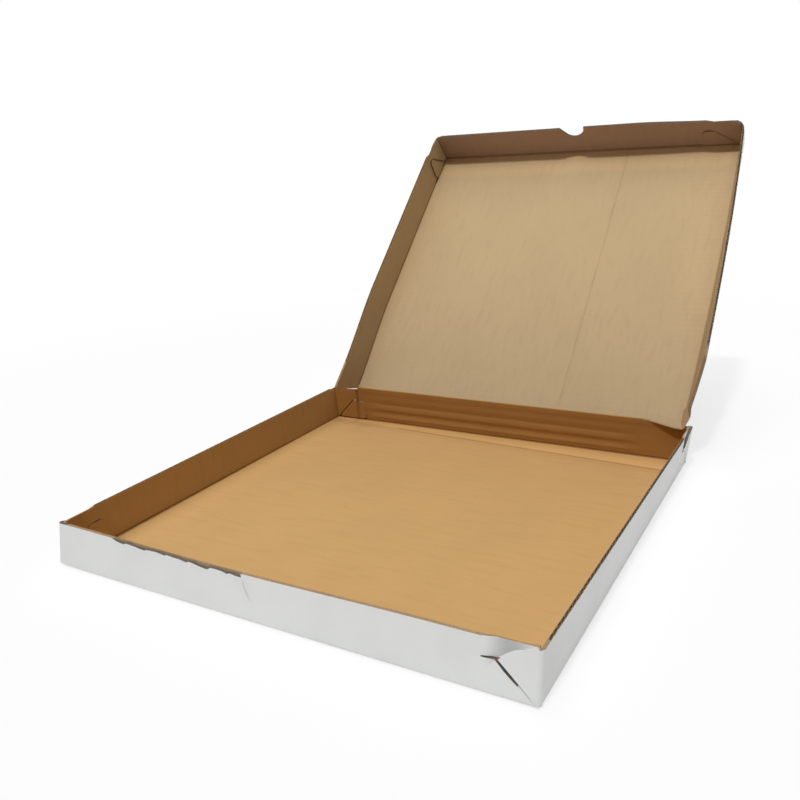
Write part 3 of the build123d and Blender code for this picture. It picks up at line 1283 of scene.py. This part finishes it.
@dataclass
class Lid(FoldedTray):
    """Lid with three walls. It is skewed a little, its right wall is splayed and its corners are rounded."""

    tip_press: float = 0.7
    skew: tuple[float, float] = (3.5 * MM, -2.5 * MM)
    side_run: float = 25.0 * MM
    splay: tuple[float, float] = (14.6 * MM, 5.6 * MM)
    wall_kept: float = 0.12
    wall_toe: float = -4.4 * MM
    wall_start: float = 20.0 * MM
    wall_run: float = 110.0 * MM
    wall_reach: float = 12.0 * MM
    wall_fluted: float = 66.0 * MM
    flare_places: tuple[float, ...] = (15.0 * MM, 45.0 * MM, 140.0 * MM, 240.0 * MM, LID_LENGTH)
    flare: tuple[float, ...] = (1.3 * MM, 2.6 * MM, 4.4 * MM, 4.6 * MM, 2.6 * MM)
    bow: float = 1.2 * MM
    front_run: float = 32.0 * MM
    corner_run: float = 15.0 * MM
    corner_drops: tuple[float, float] = (3.5 * MM, 11.0 * MM)
    corner_share: float = 0.25
    right_sag: float = 3.0 * MM
    right_sag_start: tuple[float, float] = (110.0 * MM, 30.0 * MM)
    hang: float = 6.5 * MM
    hang_lift: float = 0.15
    hang_start: tuple[float, float] = (156.0 * MM, 191.0 * MM)
    hang_run: float = 30.0 * MM
    ear_start: float = 7.0 * MM
    ear_reach: float = 4.6 * MM
    ear_kept: tuple[float, float] = (0.4, 0.08)
    left_start: float = 4.6 * MM
    left_loose: float = 11.2 * MM
    left_reach: tuple[float, float] = (4.6 * MM, 28.0 * MM)
    left_kept: float = 0.185
    left_draw: float = 5.5 * MM
    left_run: float = 120.0 * MM
    lock_fade: tuple[float, float] = (45.0 * MM, 60.0 * MM)
    lock_runs: tuple[float, ...] = (0.0, FOLD_OUT, STACK, SLIT_RUN, 41.0 * MM, 60.0 * MM)
    lock_moved: tuple[float, ...] = (0.0, FOLD_OUT, 11.0 * MM, 32.5 * MM, 39.0 * MM, 60.0 * MM)
    lock_levels: tuple[float, ...] = (0.0, FOLD_OUT, SLIT_RISE, LID_HEIGHT)
    lock_raised: tuple[float, ...] = (0.0, FOLD_OUT, 30.0 * MM, LID_HEIGHT)

    def walls(self) -> dict[Wall, tuple[Axis, float, float]]:
        """Walls of this lid: axis, outside plane and outward sign of each."""
        return {
            Wall.LEFT: (Axis.ACROSS, self.left, -1.0),
            Wall.RIGHT: (Axis.ACROSS, self.right, 1.0),
            Wall.FRONT: (Axis.ALONG, self.rear, 1.0),
        }

    def locks(self) -> list[tuple[Axis, float, float]]:
        """Corner locks of this lid: wall's axis, outside plane of the wall, and corner along it."""
        return [(Axis.ALONG, self.rear, self.right), (Axis.ACROSS, self.left, self.rear)]

    def kraft(self) -> KraftFinish:
        """Brown liner with painted light and shade: darker to the hinge, painted light in pale strips below
        the front wall, painted shade in the folds, a darker front wall and left side, and painted shade in a
        faint crease down the panel.

        Returns:
            The finish.
        """
        panel = (self.left + FOLD_OUT, self.right - FOLD_OUT)
        left_fold = (0.0, self.rear)
        painted_shading = (
            # Painted shade: darker towards the hinge
            Band(Axis.ALONG, start=-PAST_SHEET, end=70.0 * MM, soft=140.0 * MM, tone=(0.80, 0.80, 0.84)),
            # Painted shade in the front fold
            Band(Axis.ALONG, start=self.rear - 4.2 * MM, end=self.rear + 4.2 * MM, soft=0.6 * MM,
                 tone=(0.60, 0.50, 0.42)),
            # Painted shade: the front wall darker and redder
            Band(Axis.ALONG, start=self.rear + 3.0 * MM, end=PAST_SHEET, soft=0.5 * MM,
                 tone=(0.64, 0.54, 0.60)),
            # Painted light: paler and redder in the strip where the front wall's shadow falls
            Band(Axis.ALONG, start=self.rear - 13.0 * MM, end=self.rear - 3.6 * MM, soft=1.0 * MM,
                 tone=(1.28, 1.12, 1.06), span=panel),
            # Painted light: a pale band below that strip
            Band(Axis.ALONG, start=self.rear - 34.0 * MM, end=self.rear - 13.0 * MM, soft=9.0 * MM,
                 tone=(1.22, 1.18, 1.14), span=panel),
            # Painted shade along the right fold
            Band(Axis.ACROSS, start=self.right - 4.0 * MM, end=self.right + 3.6 * MM, soft=0.6 * MM,
                 tone=(0.70, 0.60, 0.50), span=(-EAR_END, self.rear - FOLD_OUT)),
            # Painted shade along the left fold
            Band(Axis.ACROSS, start=self.left - 3.6 * MM, end=self.left + 4.0 * MM, soft=0.6 * MM,
                 tone=(0.70, 0.60, 0.50), span=left_fold),
            # Painted shade: a narrow dark line in the left fold
            Band(Axis.ACROSS, start=self.left - 2.9 * MM, end=self.left + 3.1 * MM, soft=0.25 * MM,
                 tone=(0.55, 0.48, 0.40), span=left_fold),
            # Painted shade: darker towards the left wall
            Band(Axis.ACROSS, start=-PAST_SHEET, end=self.left + 50.0 * MM, soft=45.0 * MM,
                 tone=(0.93, 0.92, 0.91)),
            # Painted shade in a faint crease down the panel
            Band(Axis.ACROSS, start=69.0 * MM, end=71.0 * MM, soft=1.2 * MM,
                 tone=(0.955, 0.945, 0.93), span=(0.0, self.rear - 20.0 * MM)),
        )
        return KraftFinish("lid_kraft", colour=(0.552, 0.402, 0.222), grain=(170.0, 40.0), painted_shading=painted_shading)

    def build(self, finishes: Finishes) -> list[Piece]:
        """Builds the card with its two loose parts, and the flutes in the open edges of its side walls.

        Args:
            finishes: materials of the box.

        Returns:
            The finished pieces.
        """
        left_run = CutRun(Wall.LEFT, self.left_loose, self.rear - LOCK_LENGTH)
        right_run = CutRun(Wall.RIGHT, self.wall_fluted, self.rear - BEND)
        # The lid's cut edges take the darker copy of the cut edge, painted shade.
        liners = [finishes.white, finishes.lid_kraft, finishes.shaded_lid_cut, finishes.shade_in_gaps, finishes.cut]
        card, left_end, right_wall = self.card("lid_card", liners, [left_run, right_run])
        self.press_back(left_end)
        # The splayed right wall keeps the plain cut edge, without that painted shade.
        right_wall.data.materials[Liner.CUT] = finishes.cut
        right_flutes = self.flutes("lid_flutes_right", [right_run], finishes.medium)
        for part in (right_wall, right_flutes):
            self.press_in(part)
        left_flutes = self.flutes("lid_flutes_left", [left_run], finishes.medium)
        return [card, left_end, right_wall, right_flutes, left_flutes]

    def side_of(self, centre: Array, normal: Array) -> tuple[Wall, Liner]:
        """Part of the sheet and side of the card, the bare rear corner as cut and the left edge as bared.

        Args:
            centre: middle of the face in the lid's frame.
            normal: its direction in the same frame.

        Returns:
            The wall, and the liner or the cut edge.
        """
        across, along, up = centre
        if up < BOARD + NEAR and along < EAR_END and abs(normal[2]) < EDGEWISE:
            ear = across > self.right - FOLD_OUT and normal[1] < HALF
            return Wall.FLOOR, Liner.OUTER if ear else Liner.CUT
        wall, liner = super().side_of(centre, normal)
        if liner is Liner.GAP_SHADE and wall is Wall.FRONT:
            return wall, Liner.INNER
        if wall is Wall.LEFT and liner is Liner.CUT and normal[1] < -HALF and along < EAR_END:
            return wall, Liner.OUTER
        if liner is Liner.CUT and normal[2] > HALF and across < self.left + BOARD + NEAR:
            return wall, Liner.BARED
        return wall, liner

    def parted(self, piece: Piece) -> list[Piece]:
        """Parts the left wall's drawn out end and the splayed right wall from the card.

        Args:
            piece: the card.

        Returns:
            The card, the left wall's end and the right wall.
        """
        parts = [piece]
        for wall in (Wall.LEFT, Wall.RIGHT):
            select_only(piece)
            across, along, up = self.faces_of(piece)[0].T
            if wall is Wall.LEFT:
                loose = (across < self.left + FOLD_OUT) & (along < self.left_loose)
            else:
                loose = (across > self.right - BOARD - NEAR) & (along < self.rear - FOLD_OUT)
                loose &= up > FOLD_OUT
            select_faces(piece, loose)
            bpy.ops.mesh.separate(type="SELECTED")
            bpy.ops.object.mode_set(mode="OBJECT")
            part = next(other for other in bpy.context.selected_objects if other is not piece)
            part.name = f"{piece.name}_{wall.value}"
            parts.append(part)
        return parts

    def press_back(self, end: Piece) -> None:
        """Gives the left wall's drawn out end a mesh of its own.

        Args:
            end: the end of the wall.
        """
        normal = self.place.direction(Vector((0.0, 1.0, 0.0)))
        anchor = self.place.to_world(np.array([[self.left, self.left_loose, 0.0]]))[0]
        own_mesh(end)

    def press_in(self, wall: Piece) -> None:
        """Gives the splayed right wall, or the flutes in its open edge, a mesh of its own.

        Args:
            wall: the wall, or the flutes in its open edge.
        """
        slope = (self.skew[1] - self.skew[0]) / self.rear
        normal = self.place.direction(Vector((1.0, -slope, -self.wall_toe / self.height)))
        fold = np.array([[self.right - BOARD / 2.0 + self.skew[0] + self.flare[1], 0.0, 0.0]])
        anchor = self.place.to_world(fold)[0]
        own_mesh(wall)

    def warp(self, local: Array) -> Array:
        """Skews the lid, splays its right wall, draws in its left one, bows its panel and rounds its corners.

        Args:
            local: points of the true folded form, in the lid's frame.

        Returns:
            The moved points.
        """
        local = self.rear_corners(self.left_lock(local))
        across, along, up = local.T
        forward = np.clip(along / self.rear, 0.0, 1.0)
        rise = np.clip(up / self.height, 0.0, 1.0)
        moved = local.copy()
        moved[:, 0] += mix(*self.skew, forward)
        right = smoothstep(across, self.right - self.side_run, self.right - BOARD)
        moved[:, 0] += right * rise * mix(*self.splay, forward ** 3)
        moved[:, 0] += right * (1.0 - rise) * np.interp(along, self.flare_places, self.flare)
        left = 1.0 - smoothstep(across, self.left + BOARD, self.left + self.side_run)
        moved[:, 0] += self.left_draw * left * (1.0 - smoothstep(along, 0.0, self.left_run))
        middle = np.sin(math.pi * np.clip((across - self.left) / (self.right - self.left), 0.0, 1.0))
        moved[:, 2] -= self.bow * middle * np.sin(math.pi * forward) * (1.0 - rise)
        near_front = smoothstep(along, self.rear - self.front_run, self.rear)
        for drop, inset in zip(self.corner_drops, (across - self.left, self.right - across)):
            corner = 1.0 - smoothstep(inset, -FOLD_OUT, self.corner_run)
            rounded = (corner * near_front) ** 2 * rise ** 2
            moved[:, 2] -= drop * rounded
            moved[:, 0] -= self.corner_share * drop * rounded * np.sign(across)
        rightward = smoothstep(across, *(self.right - inset for inset in self.right_sag_start))
        moved[:, 2] -= self.right_sag * rightward * near_front * rise
        return moved

    def rear_corners(self, local: Array) -> Array:
        """Draws the side walls' ends out to the rear, slants the bare corner and hangs it below the fold.

        Args:
            local: points in the lid's frame.

        Returns:
            The moved points.
        """
        across, along, up = local.T
        moved = local.copy()
        wall = smoothstep(across, self.right - FOLD_OUT, self.right - FOLD_OUT + BOARD)
        wall *= along > self.wall_start - NEAR
        moved[:, 1] -= self.wall_reach * wall * (1.0 - smoothstep(along, self.wall_start, self.wall_run))
        ear = (across > self.right) & (along < EAR_END)
        kept = mix(*self.ear_kept, smoothstep(along, self.ear_start, EAR_END))
        moved[ear, 0] = (self.right + (across - self.right) * kept)[ear]
        left = (across < self.left + FOLD_OUT + NEAR) & (along > self.left_start - NEAR)
        drawn = left * np.clip((self.left_loose - along) / (self.left_loose - self.left_start), 0.0, 1.0)
        moved[:, 1] -= drawn * mix(*self.left_reach, np.clip(up / self.height, 0.0, 1.0))
        low = smoothstep(across, *self.hang_start) * (1.0 - smoothstep(along, 0.0, self.hang_run))
        low *= 1.0 - smoothstep(across, self.right - BOARD, self.right + self.ear_reach)
        moved[:, 1] -= self.hang * low
        moved[:, 2] += self.hang_lift * self.hang * low
        return moved

    def left_lock(self, local: Array) -> Array:
        """Moves the lock in the left wall further from the corner, and draws its tip shorter.

        Args:
            local: points in the lid's frame.

        Returns:
            The moved points.
        """
        across, along, up = local.T
        wall = (across < self.left + STACK) & (up > FOLD_OUT)
        run = self.rear - along
        near = 1.0 - smoothstep(run, *self.lock_fade)
        moved = local.copy()
        moved[wall, 1] = self.rear - np.interp(run, self.lock_runs, self.lock_moved)[wall]
        moved[wall, 2] = mix(up, np.interp(up, self.lock_levels, self.lock_raised), near)[wall]
        far = wall & (run > self.lock_runs[-1])
        moved[far, 1] = along[far]
        return moved


@dataclass(frozen=True)
class HingeFold:
    """Paper of the scored fold between the rear wall and the lid, bent between the two."""

    left: float = -167.5 * MM
    right: float = 196.0 * MM
    reach: float = 3.0 * MM
    proud: float = 0.08 * MM
    lap: float = 0.5 * MM
    columns: int = 24
    rows: int = 28
    round_steps: int = 6

    def build(self, finishes: Finishes) -> list[Piece]:
        """Builds the white paper at the back of the fold and the brown paper on its inside."""
        return [self.outer([finishes.white] * 2), self.inner([finishes.tray_kraft, finishes.lid_kraft])]

    def knuckle(self) -> float:
        """Distance of both papers from the hinge."""
        return BOARD / 2.0 + self.proud

    def outer(self, finishes: list[Material]) -> Piece:
        """White paper at the back of the fold.

        Args:
            finishes: materials of the paper on the wall and on the lid.

        Returns:
            The finished piece.
        """
        wall = HINGE_POINT.y + self.knuckle()
        touch = self.on_circle(LID_OPEN - math.pi)
        path = [(wall, HINGE_POINT.z - self.knuckle() - self.reach), (wall, TRAY_HIGH.z - self.lap)]
        path += [touch, self.along_lid(touch, self.reach)]
        return self.strip("fold_paper_outer", path, finishes)

    def inner(self, finishes: list[Material]) -> Piece:
        """Brown paper on the inside of the fold.

        Args:
            finishes: materials of the paper on the wall and on the lid.

        Returns:
            The finished piece.
        """
        wall = HINGE_POINT.y - self.knuckle()
        path = [(wall, TRAY_HIGH.z - self.reach), (wall, HINGE_POINT.z)]
        for step in range(1, self.round_steps + 1):
            path.append(self.on_circle(mix(math.pi, LID_OPEN, step / self.round_steps)))
        path.append(self.along_lid(path[-1], self.reach))
        return self.strip("fold_paper_inner", path, finishes)

    def on_circle(self, angle: float) -> tuple[float, float]:
        """Point round the hinge, by its angle from the rear."""
        radius = self.knuckle()
        return HINGE_POINT.y + radius * math.cos(angle), HINGE_POINT.z + radius * math.sin(angle)

    def along_lid(self, point: tuple[float, float], distance: float) -> tuple[float, float]:
        """Point further out along the open lid."""
        return point[0] - distance * math.cos(LID_OPEN), point[1] + distance * math.sin(LID_OPEN)

    def strip(self, name: str, path: list[tuple[float, float]], finishes: list[Material]) -> Piece:
        """Strip of paper along the hinge.

        Args:
            name: name of the piece.
            path: points of its section, from the wall to the lid.
            finishes: materials of the paper on the wall and on the lid.

        Returns:
            The piece, bent between tray and lid.
        """
        corners = np.array(path)
        lengths = np.concatenate([[0.0], np.cumsum(np.linalg.norm(np.diff(corners, axis=0), axis=1))])
        piece, share = paper_grid(self.columns, self.rows)
        piece.name = name
        distance = share[:, 1] * lengths[-1]
        points = np.empty_like(share)
        points[:, 0] = mix(self.left, self.right, share[:, 0])
        points[:, 1] = np.interp(distance, lengths, corners[:, 0])
        points[:, 2] = np.interp(distance, lengths, corners[:, 1])
        set_points(piece, points)
        layer = piece.data.uv_layers.new(name="sheet")
        for finish in finishes:
            piece.data.materials.append(finish)
        for face in piece.data.polygons:
            reached = np.mean([distance[corner] for corner in face.vertices])
            face.material_index = int(reached > lengths[1] + BOARD / 2.0)
            start = -lengths[1] if face.material_index else TRAY_HIGH.y + TRAY_HIGH.z - lengths[1]
            for loop in face.loop_indices:
                corner = piece.data.loops[loop].vertex_index
                layer.data[loop].uv = (points[corner, 0], start + distance[corner])
        thicken(piece, 2.0 * self.proud)
        bpy.ops.object.shade_smooth_by_angle(angle=FOLD_ANGLE)
        start = (0.0, *path[1])
        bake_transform(piece)
        return piece


@dataclass(frozen=True)
class Lamp:
    """A distant lamp: the direction to it, its share of plain light, and its width in degrees."""

    name: str
    toward: Triple
    strength: float
    angle: float

    def place(self) -> None:
        """Adds the lamp."""
        data = bpy.data.lights.new(self.name, "SUN")
        data.energy = self.strength * math.pi
        data.angle = math.radians(self.angle)
        lamp = bpy.data.objects.new(self.name, data)
        lamp.rotation_euler = Vector(self.toward).to_track_quat("Z", "Y").to_euler()
        bpy.context.scene.collection.objects.link(lamp)


@dataclass(frozen=True)
class Studio:
    """Pale floor, soft lamps and the camera at the photo's viewing angle."""

    focal_px: float = 764.23
    azimuth: float = -29.11
    elevation: float = 20.19
    roll: float = -3.44
    place: Triple = (330.04 * MM, -497.90 * MM, 292.16 * MM)
    centre_px: tuple[float, float] = (451.32, 427.56)
    photo_px: float = 800.0
    sensor: float = 36.0
    clip_start: float = 10.0 * MM
    floor_size: float = 60.0
    floor_drop: float = 0.05 * MM
    floor_tones: tuple[float, float] = (0.90, 0.92)
    floor_grain: Triple = (40.0, 40.0, 40.0)
    floor_roughness: float = 0.9
    ambient: float = 0.04
    glow: tuple[float, float] = (0.7, 1.0)
    glow_range: tuple[float, float] = (0.45, 1.3)
    lamps: tuple[Lamp, ...] = (
        Lamp("key", toward=(0.0, -0.407, 0.914), strength=0.372, angle=5.0),
        Lamp("top", toward=(0.0, 0.0, 1.0), strength=0.631, angle=60.0),
    )

    def camera(self) -> None:
        """Adds the camera."""
        turn, tilt, lean = (math.radians(angle) for angle in (self.azimuth, self.elevation, self.roll))
        look = Vector((math.sin(turn) * math.cos(tilt), math.cos(turn) * math.cos(tilt), -math.sin(tilt)))
        right = look.cross(Vector((0.0, 0.0, 1.0))).normalized()
        up = right.cross(look)
        right, up = (
            math.cos(lean) * right + math.sin(lean) * up,
            math.cos(lean) * up - math.sin(lean) * right,
        )
        data = bpy.data.cameras.new("camera")
        data.sensor_fit = "HORIZONTAL"
        data.sensor_width = self.sensor
        data.lens = self.focal_px / self.photo_px * self.sensor
        half = self.photo_px / 2.0
        data.shift_x = (half - self.centre_px[0]) / self.photo_px
        data.shift_y = (self.centre_px[1] - half) / self.photo_px
        data.clip_start = self.clip_start
        camera = bpy.data.objects.new("camera", data)
        camera.matrix_world = Matrix((right, up, -look)).transposed().to_4x4()
        camera.location = self.place
        bpy.context.scene.collection.objects.link(camera)
        bpy.context.scene.camera = camera

    def floor(self) -> None:
        """Adds the pale floor, which keeps the object's shadow."""
        bpy.ops.object.select_all(action="DESELECT")
        bpy.ops.mesh.primitive_plane_add(size=self.floor_size, location=(0.0, 0.0, -self.floor_drop))
        floor = bpy.context.object
        floor.name = "floor"
        shader = Shader("pale_floor")
        shader.put(shader.surface, "Roughness", self.floor_roughness)
        shader.put(shader.surface, "Specular IOR Level", 0.0)
        place = shader.add("TexCoord").outputs["Object"]
        speck = shader.noise(place, self.floor_grain)
        tone = shader.tint(speck, *(toned((level, level, level)) for level in self.floor_tones))
        shader.put(shader.surface, "Base Color", tone)
        glow = shader.add("Emission", {"Color": (1.0, 1.0, 1.0, 1.0), "Strength": 1.0})
        seen = shader.add("LightPath").outputs["Is Camera Ray"]
        away = shader.add("VectorMath", {0: place}, operation="LENGTH").outputs["Value"]
        share = shader.math("MULTIPLY", seen, shader.ramp(away, *self.glow_range, *self.glow))
        both = shader.add("MixShader", {0: share, 1: shader.surface.outputs[0], 2: glow.outputs[0]})
        shader.put(shader.tree.nodes["Material Output"], "Surface", both.outputs[0])
        floor.data.materials.append(shader.material)

    def world(self) -> None:
        """Soft light from all round, seen as plain white."""
        world = bpy.data.worlds.new("studio")
        world.use_nodes = True
        tree = world.node_tree
        path = tree.nodes.new("ShaderNodeLightPath")
        seen = path.outputs["Is Camera Ray"]
        for name in ("Is Glossy Ray", "Is Transmission Ray"):
            either = tree.nodes.new("ShaderNodeMath")
            either.operation = "MAXIMUM"
            tree.links.new(seen, either.inputs[0])
            tree.links.new(path.outputs[name], either.inputs[1])
            seen = either.outputs[0]
        strength = tree.nodes.new("ShaderNodeMapRange")
        strength.inputs["To Min"].default_value = self.ambient
        strength.inputs["To Max"].default_value = 1.0
        tree.links.new(seen, strength.inputs["Value"])
        background = tree.nodes["Background"]
        background.inputs["Color"].default_value = (1.0, 1.0, 1.0, 1.0)
        tree.links.new(strength.outputs[0], background.inputs["Strength"])
        bpy.context.scene.world = world

    def build(self) -> None:
        """Sets up floor, lamps, world and camera."""
        self.floor()
        for lamp in self.lamps:
            lamp.place()
        self.world()
        self.camera()
        bpy.context.scene.view_settings.view_transform = "Standard"


def tray_frame() -> CardFrame:
    """Frame of the tray, from the middle of its underside."""
    return CardFrame(Vector((0.0, 0.0, 0.0)), Vector((0.0, 1.0, 0.0)), Vector((0.0, 0.0, 1.0)))


def lid_frame() -> CardFrame:
    """Frame of the open lid, from the hinge, measured from the panel's outside.

    Returns:
        The frame.
    """
    along = Vector((0.0, -math.cos(LID_OPEN), math.sin(LID_OPEN)))
    up = Vector((0.0, -math.sin(LID_OPEN), -math.cos(LID_OPEN)))
    return CardFrame(HINGE_POINT - up * (BOARD / 2.0), along, up)


def box_finishes(tray: BaseTray, lid: Lid) -> Finishes:
    """Makes the materials of the box.

    Args:
        tray: tray whose folds its liner's stripes follow.
        lid: lid whose folds its liner's stripes follow.

    Returns:
        The materials.
    """
    return Finishes(
        tray_kraft=tray.kraft().material(),
        lid_kraft=lid.kraft().material(),
        white=tray.white().material(),
        cut=CutFinish("cut_edge", colour=(0.42, 0.29, 0.17)).material(),
        # Darker copy of the cut edge, painted shade on the lid's cut edges.
        shaded_lid_cut=CutFinish("lid_cut_edge_painted_shade", colour=(0.17, 0.125, 0.09)).material(),
        # Painted shade: a near black cut colour for slits, hooks, open corners and the torn ledge.
        shade_in_gaps=CutFinish("painted_gap_shade", colour=(0.17, 0.145, 0.12)).material(),
        bared=CutFinish("bared_board", colour=(0.54, 0.40, 0.25)).material(),
        medium=CutFinish("fluted_paper", colour=(0.40, 0.27, 0.15)).material(),
    )


def main() -> None:
    """Builds the box and the studio, and reports each piece."""
    logging.basicConfig(level=logging.INFO, format="%(message)s")
    tray = BaseTray(
        "base_tray", "tray", "tray_board", tray_frame(),
        left=TRAY_LOW.x, right=TRAY_HIGH.x, front=TRAY_LOW.y, rear=TRAY_HIGH.y, height=TRAY_HIGH.z,
    )
    lid = Lid(
        "lid", "lid", "lid_board", lid_frame(),
        left=LID_LEFT, right=LID_RIGHT, front=0.0, rear=LID_LENGTH, height=LID_HEIGHT,
    )
    finishes = box_finishes(tray, lid)
    pieces = tray.build(finishes)
    pieces += lid.build(finishes)
    pieces += HingeFold().build(finishes)
    for piece in pieces:
        LOG.info("%s: %d faces", piece.name, len(piece.data.polygons))
    Studio().build()


if __name__ == "__main__":
    main()
